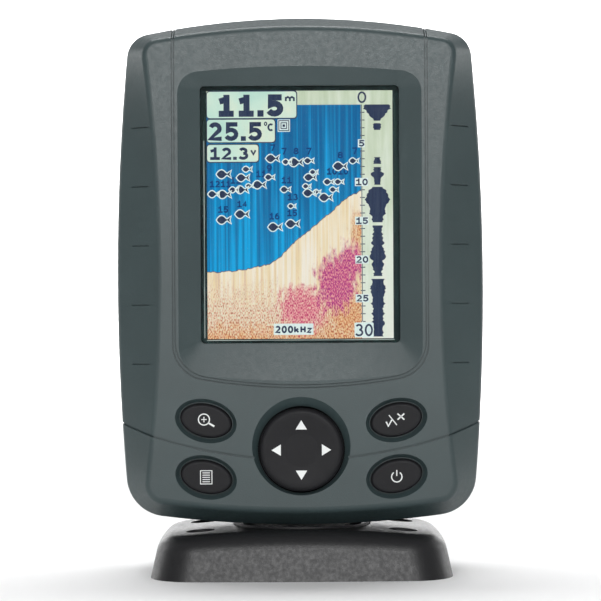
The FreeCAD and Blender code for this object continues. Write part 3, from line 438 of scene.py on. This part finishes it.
# Signs as strokes in a box one wide and one high, from its lower left corner. True marks a closed stroke.
SIGNS = {
    "0": [(oval((0.5, 0.5), (0.5, 0.5)), True)],
    "1": [
        ([(0.55, 1.18), (0.55, 0.0)], False),
        ([(-0.1, 0.76), (0.5, 0.88)], False),
        ([(-0.16, 0), (1.2, 0)], False),
    ],
    "2": [(arc((0.48, 0.70), (0.46, 0.30), 160, -28) + [(0.0, 0.0), (1.16, 0.0)], False)],
    "3": [
        (arc((0.45, 0.76), (0.43, 0.24), 155, -85), False),
        (arc((0.45, 0.27), (0.53, 0.27), 85, -155), False),
    ],
    "4": [([(0.72, 0.0), (0.72, 1.0), (0.0, 0.3), (1.0, 0.3)], False)],
    "5": [([(1.12, 1.0), (0.14, 1.0), (0.1, 0.55)] + arc((0.44, 0.31), (0.54, 0.31), 120, -155), False)],
    "6": [
        (oval((0.5, 0.31), (0.5, 0.31)), True),
        ([(0.0, 0.36), (0.08, 0.68), (0.36, 0.94), (0.85, 1.0)], False),
    ],
    "7": [([(-0.15, 1.0), (1.0, 1.0), (0.36, -0.15)], False)],
    "8": [(oval((0.5, 0.76), (0.43, 0.24)), True), (oval((0.5, 0.27), (0.5, 0.27)), True)],
    "9": [
        (oval((0.5, 0.69), (0.5, 0.31)), True),
        ([(1.0, 0.64), (0.92, 0.32), (0.64, 0.06), (0.15, 0.0)], False),
    ],
    "m": [
        ([(0, 0), (0, 1)], False),
        ([(0, 0.7), (0.25, 1), (0.5, 0.7), (0.5, 0)], False),
        ([(0.5, 0.7), (0.75, 1), (1, 0.7), (1, 0)], False),
    ],
    "C": [(arc((0.55, 0.5), (0.55, 0.5), 50, 310), False)],
    "V": [([(0, 1), (0.5, 0), (1, 1)], False)],
    "k": [([(0, 0), (0, 1)], False), ([(0.9, 0.62), (0.1, 0.3)], False), ([(0.35, 0.4), (0.95, 0)], False)],
    "H": [([(0, 0), (0, 1)], False), ([(1, 0), (1, 1)], False), ([(0, 0.5), (1, 0.5)], False)],
    "z": [([(0, 0.65), (1, 0.65), (0, 0), (1, 0)], False)],
    "°": [(oval((0.5, 0.8), (0.45, 0.2)), True)],
    ".": [],
}
# As shares of a sign's width, and the dot's height as a share of the stroke's weight.
DOT_WIDE = 0.36
SIGN_GAP = 0.16
DOT_HIGH = 1.05


def write(relief, words, left, top, right, bottom, weight):
    """Signs that fill a box of the picture, in millimetres, with strokes of a weight."""
    shares = [DOT_WIDE if sign == "." else 1.0 for sign in words]
    unit = (right - left) / (sum(shares) + SIGN_GAP * (len(words) - 1))
    start = left
    for sign, share in zip(words, shares):
        wide, high = share * unit - weight, bottom - top - weight
        if sign == ".":
            relief.ring(panel(start, bottom - weight * DOT_HIGH, start + share * unit, bottom))
        left_line, low_line = start + weight / 2, bottom - weight / 2
        for path, closed in SIGNS[sign]:
            points = [spot(left_line + across * wide, low_line - up * high) for across, up in path]
            relief.stroke(points, weight * MM, closed)
        start += (share + SIGN_GAP) * unit


# ---- the lit picture ------------------------------------------------------------------------------

# All lengths in the picture are in millimetres, across and down from its top left corner.
PICTURE_WIDE = 52.56
PICTURE_HIGH = 70.08
glass_low, glass_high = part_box("lcd_glass")
PICTURE_LEFT = -PICTURE_WIDE * MM / 2
PICTURE_TOP = (glass_low.z + glass_high.z) / 2 + PICTURE_HIGH * MM / 2
LAYER = 0.06 * MM
HAIRLINE = 0.2 * MM


def level(down):
    """The height in metres of a line across the picture."""
    return PICTURE_TOP - down * MM


def spot(across, down):
    """A point of the picture as x and z in metres."""
    return PICTURE_LEFT + across * MM, level(down)


def panel(left, top, right, bottom, radius=0.0):
    """The outline of a box in the picture, with square or rounded corners."""
    x0, z1 = spot(left, top)
    x1, z0 = spot(right, bottom)
    if radius:
        return rounded_ring(x0, z0, x1, z1, radius * MM)
    return [(x0, z0), (x1, z0), (x1, z1), (x0, z1)]


def picture_relief(layer):
    """An empty relief in one of the picture's layers, which are counted forward from the glass."""
    return Relief(glass_low.y - layer * LAYER, LAYER)


def picture_piece(name, relief, material):
    return add_piece(name, relief.mesh(name), material, "head")


def filled(name, rings, layer, material):
    """A piece of filled outlines in one layer."""
    relief = picture_relief(layer)
    for ring in rings:
        relief.ring(ring)
    return picture_piece(name, relief, material)


# The lit colours, from the darkest streak to the brightest.
CREAM = ((0.54, 0.64, 0.45), (0.66, 0.74, 0.58), (0.80, 0.86, 0.75), (0.86, 0.86, 0.78))
WATER = ((0.0, 0.125, 0.34), (0.0, 0.19, 0.45), (0.0, 0.27, 0.61), (0.001, 0.40, 0.80))
NAVY = ((0.018, 0.030, 0.075), (0.024, 0.040, 0.095), (0.034, 0.050, 0.10))
DEEP_BLUE = ((0.001, 0.030, 0.14), (0.002, 0.045, 0.19), (0.003, 0.06, 0.24))
TRACE_BROWN = ((0.05, 0.05, 0.08), (0.16, 0.10, 0.12), (0.35, 0.25, 0.22))
WHITE = ((0.70, 0.84, 0.84), (0.78, 0.90, 0.88), (0.84, 0.92, 0.88))
BOX_GREEN = ((0.52, 0.78, 0.68), (0.64, 0.84, 0.72), (0.78, 0.86, 0.70))
RIM_GREY = ((0.20, 0.26, 0.26), (0.38, 0.44, 0.42), (0.5, 0.56, 0.52))

# The depth scale: where its line stands, where it starts, and the length of one metre on it.
SCALE_ACROSS = 43.8
SCALE_ZERO = 4.0
SCALE_STEP = 2.19
SCALE_METRES = 28
WATER_DEEP = 56
# The seabed's top edge, from the left to the scale.
SEABED = ((0, 51.3), (6, 51.0), (11.5, 50.3), (17.5, 48.9), (20.5, 47.2), (24.5, 42.9), (30, 38.6),
          (36, 33.5), (38.5, 31.0), (40.8, 29.7), (43.6, 28.4))
SEABED_STEP = 0.45
SEABED_ROUGH = 0.24


def seabed_line():
    """The seabed's top edge, with the small steps of a sounding trace."""
    rng = random.Random(4)
    line = []
    for (x0, y0), (x1, y1) in zip(SEABED, SEABED[1:]):
        steps = max(2, round((x1 - x0) / SEABED_STEP))
        for step in range(steps):
            part = step / steps
            down = y0 + (y1 - y0) * part + rng.uniform(-SEABED_ROUGH, SEABED_ROUGH)
            line.append((x0 + (x1 - x0) * part, down))
    line.append(SEABED[-1])
    return line


# The upper half of a fish that faces left, as shares of its length and of its half height.
FISH_HALF = ((0.0, 0.0), (0.10, 0.52), (0.23, 0.90), (0.37, 1.0), (0.50, 0.80), (0.62, 0.40), (0.70, 0.22),
             (0.80, 0.50), (0.97, 0.88), (0.88, 0.0))
FISH_TALL = 0.29


def fish_path(across, down, long):
    """The outline of a fish with its nose at a point: a pointed oval that narrows to a forked tail."""
    tall = long * FISH_TALL
    top = [(across + x * long, down - y * tall) for x, y in FISH_HALF]
    bottom = [(across + x * long, down + y * tall) for x, y in reversed(FISH_HALF[1:-1])]
    return [spot(x, y) for x, y in reversed(top + bottom)]


# Each fish: its nose across and down, and its length.
FISH = (
    (16.6, 19.1, 4.2), (21.3, 20.1, 2.9), (23.0, 20.2, 4.5), (27.4, 19.8, 3.1), (35.6, 21.4, 4.4),
    (40.2, 19.9, 3.0), (2.6, 23.5, 4.5), (10.0, 22.1, 3.0), (8.3, 24.5, 4.0), (16.3, 24.4, 3.1),
    (12.8, 26.5, 4.2), (0.2, 29.1, 3.6), (2.9, 29.2, 4.2), (6.2, 27.9, 3.0), (8.0, 27.9, 4.0),
    (10.9, 26.8, 2.4), (20.7, 27.9, 3.2), (29.0, 23.0, 2.6), (27.4, 24.5, 3.8), (27.0, 27.0, 2.6),
    (27.1, 28.9, 4.0), (32.9, 25.8, 3.2), (36.0, 25.8, 2.9), (34.6, 28.0, 2.8), (31.6, 30.2, 4.2),
    (30.0, 28.6, 2.4), (2.6, 36.4, 4.4), (7.8, 34.8, 4.4), (17.1, 38.5, 4.4), (22.1, 37.6, 4.3),
    (22.8, 32.6, 2.5),
)
FISH_EDGE = 0.3
NUMBER_WEIGHT = 0.42
NUMBER_HIGH = 1.9
DIGIT_WIDE = 1.4
# The depth over a fish: the number, and its lower left corner.
FISH_NUMBERS = (
    ("7", 18.0, 17.0), ("7", 21.2, 18.0), ("8", 24.6, 18.0), ("7", 28.2, 18.0), ("8", 37.1, 19.2),
    ("7", 41.2, 18.0), ("9", 17.0, 22.8), ("11", 21.2, 26.2), ("11", 14.0, 24.4), ("10", 34.0, 23.8),
    ("10", 37.2, 23.8), ("12", 0.9, 27.2), ("11", 4.0, 27.2), ("11", 6.8, 26.2), ("13", 22.9, 31.0),
    ("15", 3.2, 34.4), ("14", 8.6, 32.9), ("16", 17.7, 36.4), ("15", 22.7, 35.5),
)
# The echo trace down the right-hand column, in blocks with gaps between: the distance down and half width.
ECHOES = (
    ((4.0, 3.4), (4.4, 3.9), (5.2, 3.8), (5.9, 3.0), (7.0, 2.3), (8.0, 1.4), (8.6, 0.9)),
    ((9.3, 0.9), (9.6, 1.1), (10.9, 1.1), (11.2, 0.9)),
    ((18.9, 1.1), (19.3, 0.9), (20.1, 0.9), (20.8, 1.1)),
    ((21.7, 1.0), (22.9, 1.1), (23.4, 2.0), (23.9, 1.8), (24.6, 1.2), (25.6, 1.1), (26.7, 0.9)),
    ((27.3, 1.3), (28.1, 2.2), (29.2, 3.0), (30.5, 3.4), (31.3, 3.5), (32.2, 2.8), (33.2, 2.0), (34.0, 2.5),
     (34.9, 2.4), (35.8, 1.7), (37.3, 1.4)),
    ((38.2, 1.5), (40.0, 1.2), (41.5, 1.5), (43.0, 1.7), (44.3, 1.3), (45.6, 2.1), (47.2, 2.3), (48.2, 1.5),
     (49.5, 1.7), (51.0, 1.1), (52.5, 1.3)),
    ((53.3, 2.0), (54.3, 1.6), (55.7, 2.3), (57.6, 1.8), (59.0, 1.5), (60.3, 1.9), (61.7, 1.3), (63.1, 1.8),
     (64.5, 1.4), (66.3, 1.8), (67.7, 1.3), (69.6, 1.5)),
)
ECHO_ACROSS = 48.2
ECHO_STEP = 0.4


def echo_outlines():
    """Each block of the echo trace, mirrored about its middle, with ragged sides."""
    rng = random.Random(9)
    rings = []
    for block in ECHOES:
        sides = []
        for (y0, w0), (y1, w1) in zip(block, block[1:]):
            steps = max(1, round((y1 - y0) / ECHO_STEP))
            for step in range(steps):
                part = step / steps
                width = w0 + (w1 - w0) * part + rng.uniform(-0.3, 0.22)
                sides.append((y0 + (y1 - y0) * part, width))
        sides.append(block[-1])
        right = [spot(ECHO_ACROSS + width, down) for down, width in sides]
        left = [spot(ECHO_ACROSS - width, down) for down, width in reversed(sides)]
        rings.append(list(reversed(right + left)))
    return rings


# The seabed's speckle, as stops of a fine grain.
SAND = ((0.32, (0.78, 0.56, 0.42)), (0.42, (0.90, 0.72, 0.44)), (0.52, (0.93, 0.80, 0.60)),
        (0.64, (0.95, 0.87, 0.76)))
SPECKS = ((0.34, (0.34, 0.16, 0.08)), (0.42, (0.74, 0.30, 0.20)), (0.48, (0.84, 0.58, 0.42)),
          (0.54, (0.88, 0.74, 0.56)), (0.62, (0.80, 0.82, 0.62)))
RUST = ((0.38, (0.42, 0.10, 0.04)), (0.47, (0.76, 0.28, 0.12)), (0.58, (0.86, 0.64, 0.36)))
PINK = ((0.38, (0.48, 0.03, 0.12)), (0.48, (0.78, 0.15, 0.26)), (0.60, (0.90, 0.58, 0.48)))
MAGENTA = ((0.37, (0.30, 0.02, 0.22)), (0.48, (0.62, 0.07, 0.24)), (0.62, (0.84, 0.40, 0.38)))


def seabed_material():
    """Pale sand, with red and brown speckle deeper down, a pink cloud and a magenta one."""
    shader = Shader("picture_seabed")
    colour = shader.ramp(shader.noise(1, 3, shader.stretched((1100, 1, 30))), *SAND)
    grain = shader.noise(1, 3, shader.stretched((3600, 1, 1500)))
    specks, rust, pink, magenta = (shader.ramp(grain, *stops) for stops in (SPECKS, RUST, PINK, MAGENTA))
    scatter = shader.noise(1, 5, shader.stretched((900, 1, 330)))
    # Each layer: its colour, its mask, the scatter's weight, and the sums where it starts and is full.
    layers = (
        (specks, shader.height(level(49), level(66)), 1.2, 0.85, 1.4),
        (rust, shader.height(level(60), level(73)), 1.2, 0.95, 1.4),
        (rust, shader.blob(spot(40, 63), (13 * MM, 14 * MM)), 1.1, 0.8, 1.3),
        (rust, shader.blob(spot(43, 40), (5 * MM, 12 * MM)), 1.2, 0.95, 1.5),
        (pink, shader.blob(spot(27, 61.5), (12 * MM, 11 * MM)), 1.2, 0.88, 1.25),
        (magenta, shader.blob(spot(36.5, 54.5), (9 * MM, 13 * MM)), 1.2, 0.86, 1.15),
        (magenta, shader.blob(spot(40.5, 48.5), (7 * MM, 9 * MM)), 1.2, 0.9, 1.25),
    )
    for tint, mask, weight, low, high in layers:
        colour = shader.mix(shader.span(shader.add(mask, scatter, weight), low, high), colour, tint)
    return lit(shader, colour)


def build_fields():
    """The flat colours behind everything else: the pale column and sky, the water and the seabed."""
    cream = glow("picture_cream", CREAM, streaks=(500, 1, 40), depth=(level(0), level(70)),
                 stops=(0.1, 0.35, 0.6, 0.9))
    water = glow("picture_water", WATER, streaks=(1100, 1, 14), depth=(level(0), level(WATER_DEEP)),
                 stops=(0.2, 0.42, 0.62, 0.85), detail=2, contrast=3.4)
    right = SCALE_ACROSS - 0.2
    edge = seabed_line()
    filled("picture_column", [panel(right, 0, PICTURE_WIDE, PICTURE_HIGH)], 0, cream)
    filled("picture_sky", [panel(0, 0, right, SCALE_ZERO)], 0, cream)
    water_ring = [spot(0, SCALE_ZERO)] + [spot(x, y) for x, y in edge] + [spot(right, SCALE_ZERO)]
    filled("picture_water", [water_ring], 0, water)
    bed_ring = [spot(0, PICTURE_HIGH), spot(right, PICTURE_HIGH)] + [spot(x, y) for x, y in reversed(edge)]
    filled("picture_seabed", [bed_ring], 0, seabed_material())
    relief = picture_relief(1)
    relief.stroke([spot(x, y) for x, y in edge], HAIRLINE)
    brown = glow("picture_edge", TRACE_BROWN, streaks=(2000, 1, 2000))
    picture_piece("picture_seabed_edge", relief, brown)


def build_fish(white, navy):
    """Dark fish with pale outlines, each with its depth over it."""
    paths = [fish_path(*fish) for fish in FISH]
    filled("picture_fish", paths, 1, navy)
    relief = picture_relief(2)
    for path in paths:
        relief.stroke(path, FISH_EDGE * MM, closed=True)
    picture_piece("picture_fish_edges", relief, white)
    relief = picture_relief(1)
    for words, left, low in FISH_NUMBERS:
        right = left + DIGIT_WIDE * len(words)
        write(relief, words, left - 0.1, low - NUMBER_HIGH, right, low, NUMBER_WEIGHT)
    picture_piece("picture_fish_numbers", relief, glow("picture_deep_blue", DEEP_BLUE))


RIM_LINES = (((-0.8, 14), (-0.8, 69.8)), ((-0.2, 70.45), (52.8, 70.45)))


def build_rim():
    """The thin bright line that the lit panel leaves along its left and lower edges."""
    relief = picture_relief(0)
    for start, end in RIM_LINES:
        relief.stroke([spot(*start), spot(*end)], HAIRLINE)
    picture_piece("picture_rim", relief, glow("picture_rim", RIM_GREY, streaks=(60, 1, 60)))


def build_picture():
    navy = glow("picture_navy", NAVY)
    white = glow("picture_white", WHITE)
    build_fields()
    filled("picture_echoes", echo_outlines(), 1, navy)
    build_fish(white, navy)
    build_readouts(white, navy)
    build_scale(white, navy)
    build_rim()


# Each line of a readout: its signs, its box (left, top, right, bottom) and the weight of its strokes.
READOUTS = (
    ("11.5", 3.1, 1.0, 21.8, 7.3, 1.75),
    ("25.5", 0.5, 8.8, 15.7, 14.1, 1.25),
    ("12.3", 0.9, 15.95, 11.8, 19.45, 0.82),
    ("m", 22.2, 1.5, 25.0, 3.2, 0.52),
    ("°", 16.2, 8.7, 17.2, 11.3, 0.32),
    ("C", 17.2, 9.2, 19.0, 11.4, 0.52),
    ("V", 12.3, 16.5, 14.1, 18.2, 0.52),
)


READOUT_BOXES = ((0.0, 0.2, 25.4, 7.65), (0.0, 8.1, 19.3, 14.45), (0.0, 15.2, 14.6, 20.0))
READOUT_EDGE = 0.3
ICON = (20.1, 8.1, 23.6, 11.6)
ICON_FRAME_INSETS = (0.35, 0.95)
ICON_DOT = (21.5, 9.5, 22.2, 10.2)


def build_readouts(white, navy):
    """Three rounded boxes with the depth, the water's warmth and the battery's voltage, and an icon."""
    edges = [panel(left, top - READOUT_EDGE, right + READOUT_EDGE, bottom + READOUT_EDGE, 0.95)
             for left, top, right, bottom in READOUT_BOXES]
    filled("picture_box_edges", edges, 3, navy)
    boxes = [panel(left + READOUT_EDGE / 2, top, right, bottom, 0.8)
             for left, top, right, bottom in READOUT_BOXES]
    filled("picture_boxes", boxes, 4, glow("picture_box", BOX_GREEN, streaks=(90, 1, 60)))
    relief = picture_relief(5)
    for line in READOUTS:
        write(relief, *line)
    picture_piece("picture_digits", relief, navy)
    filled("picture_icon_plate", [panel(*ICON)], 3, white)
    relief = picture_relief(4)
    left, top, right, bottom = ICON
    for inset in ICON_FRAME_INSETS:
        corners = ((left + inset, top + inset), (right - inset, top + inset),
                   (right - inset, bottom - inset), (left + inset, bottom - inset))
        relief.stroke([spot(*corner) for corner in corners], 0.25 * MM, closed=True)
    relief.ring(panel(*ICON_DOT))
    picture_piece("picture_icon", relief, navy)


# The scale's ticks, as distances from its line, and its numbers, each with half its width.
TICK_HALF_HIGH = 0.13
TICKS = ((0.14, 0.85), (-0.5, -0.14))
NUMBER_EVERY = 5
SCALE_NUMBERS = ((5, 0.8), (10, 1.7), (15, 1.7), (20, 1.7), (25, 1.7))
NUMBER_HALF_HIGH = 0.95
PLATE_HALF_HIGH = 1.15
# Each of the scale's ends and the sounder's frequency: its signs, its box and its strokes' weight.
CAPTIONS = (
    ("0", 42.7, 0.3, 45.2, 3.6, 0.5),
    ("30", 41.7, 66.0, 46.7, 69.5, 0.52),
    ("200kHz", 19.1, 66.4, 29.5, 68.5, 0.5),
)
CAPTION_PLATES = ((41.5, 65.6, 46.9, 69.8, 0.4), (18.7, 65.8, 29.9, 69.0))


def build_scale(white, navy):
    """The depth scale: a line with a tick for each metre and a number on a plate for each five."""
    relief = picture_relief(1)
    end = SCALE_ZERO + SCALE_METRES * SCALE_STEP
    relief.ring(panel(SCALE_ACROSS - 0.1, SCALE_ZERO, SCALE_ACROSS + 0.1, end))
    for metre in range(1, SCALE_METRES + 1):
        if metre % NUMBER_EVERY:
            down = SCALE_ZERO + metre * SCALE_STEP
            for start, stop in TICKS:
                relief.ring(panel(SCALE_ACROSS + start, down - TICK_HALF_HIGH,
                                  SCALE_ACROSS + stop, down + TICK_HALF_HIGH))
    picture_piece("picture_scale", relief, navy)
    plates = []
    relief = picture_relief(3)
    for value, half in SCALE_NUMBERS:
        down = SCALE_ZERO + value * SCALE_STEP
        left, right = SCALE_ACROSS - half, SCALE_ACROSS + half
        plates.append(panel(left - 0.25, down - PLATE_HALF_HIGH, right + 0.1, down + PLATE_HALF_HIGH))
        top, bottom = down - NUMBER_HALF_HIGH, down + NUMBER_HALF_HIGH
        write(relief, str(value), left, top, right, bottom, NUMBER_WEIGHT)
    for plate in CAPTION_PLATES:
        plates.append(panel(*plate))
    for caption in CAPTIONS:
        write(relief, *caption)
    filled("picture_plates", plates, 2, white)
    picture_piece("picture_numbers", relief, navy)


# ---- key symbols ----------------------------------------------------------------------------------


# Each symbol is drawn in millimetres about the middle of its key, which is at x, z.
INK_GAP = 0.012
INK_THICK = 0.05
# The disc's dished top: its radius, the width of the slope inside it, and its depth, in millimetres.
DISH_RADIUS = 9.6
DISH_SLOPE = 4.8
DISH_DEEP = 0.35


def magnifier(relief, x, z):
    """A round lens with a plus in it and a handle to the lower right."""
    lens_x, lens_z = x - 0.55, z + 0.4
    relief.stroke(oval((lens_x, lens_z), (1.55, 1.55), 28), 0.3, closed=True)
    relief.stroke([(lens_x + 1.25, lens_z - 0.95), (lens_x + 2.9, lens_z - 1.95)], 0.5)
    relief.stroke([(lens_x - 0.75, lens_z), (lens_x + 0.75, lens_z)], 0.26)
    relief.stroke([(lens_x, lens_z + 0.75), (lens_x, lens_z - 0.75)], 0.26)


def boxed_list(relief, x, z):
    """Five short lines in an upright box."""
    half, tall = 1.6, 1.85
    corners = [(x - half, z - tall), (x + half, z - tall), (x + half, z + tall), (x - half, z + tall)]
    relief.stroke(corners, 0.22, closed=True)
    for step in range(-2, 3):
        line = z + step * 0.62
        relief.stroke([(x - 1.05, line), (x + 1.05, line)], 0.24)


def tick_and_cross(relief, x, z):
    """A tick to the left of a slanted line, and a cross to the right of it."""
    relief.stroke([(x - 2.9, z - 0.5), (x - 2.3, z - 1.75), (x - 1.3, z + 0.0)], 0.4)
    relief.stroke([(x - 2.1, z + 1.35), (x + 0.1, z - 1.45)], 0.28)
    for slope in (-1, 1):
        relief.stroke([(x + 0.3, z + 0.9 - 0.85 * slope), (x + 2.2, z + 0.9 + 0.85 * slope)], 0.4)


def power_sign(relief, x, z):
    """A ring that is open at the top, with an upright line in the gap."""
    relief.stroke(arc((x, z - 0.15), (1.45, 1.45), 125, 415, 28), 0.32)
    relief.stroke([(x, z + 0.1), (x, z + 1.75)], 0.32)


def arrow_heads(relief, x, z):
    """Four small triangles that point away from the disc's middle."""
    reach, long, half = 5.75, 2.6, 1.6
    for turn in range(4):
        out = Vector((round(math.cos(math.pi / 2 * turn)), round(math.sin(math.pi / 2 * turn))))
        side = Vector((-out.y, out.x))
        base = Vector((x, z)) + out * reach
        relief.ring([tuple(base - side * half), tuple(base + out * long), tuple(base + side * half)])


def dish_depth(across, up):
    """How far the disc's dished top lies behind its rim, at a distance across and up from its middle."""
    part = (DISH_RADIUS - math.hypot(across, up)) / DISH_SLOPE
    return DISH_DEEP * min(1.0, max(0.0, part))


def add_symbol(node, body, draw, depth=None):
    """A printed symbol, as a thin white layer on the front of a key, which can be dished by a depth."""
    low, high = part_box(node)
    x, z = (low.x + high.x) / 2 / MM, (low.z + high.z) / 2 / MM
    front = low.y / MM + INK_GAP
    relief = Relief(lambda px, pz: front + (depth(px - x, pz - z) if depth else 0), INK_THICK)
    draw(relief, x, z)
    bmesh.ops.scale(relief.builder, vec=(MM, MM, MM), verts=relief.builder.verts)
    ink = moulded(f"{node}_ink", INK_WHITE, 0.55, relief=0.000004)
    add_piece(f"{node}_symbol", relief.mesh(f"{node}_symbol"), ink, body)


def build_symbols():
    add_symbol("zoom_key", "zoom_key", magnifier)
    add_symbol("menu_key", "menu_key", boxed_list)
    add_symbol("enter_key", "enter_key", tick_and_cross)
    add_symbol("power_key", "power_key", power_sign)
    add_symbol("nav_disc", "disc", arrow_heads, dish_depth)


# ---- the whole scene ------------------------------------------------------------------------------

add_camera()
add_studio()
dress_nodes(make_finishes())
build_picture()
build_symbols()

bpy.context.view_layer.update()
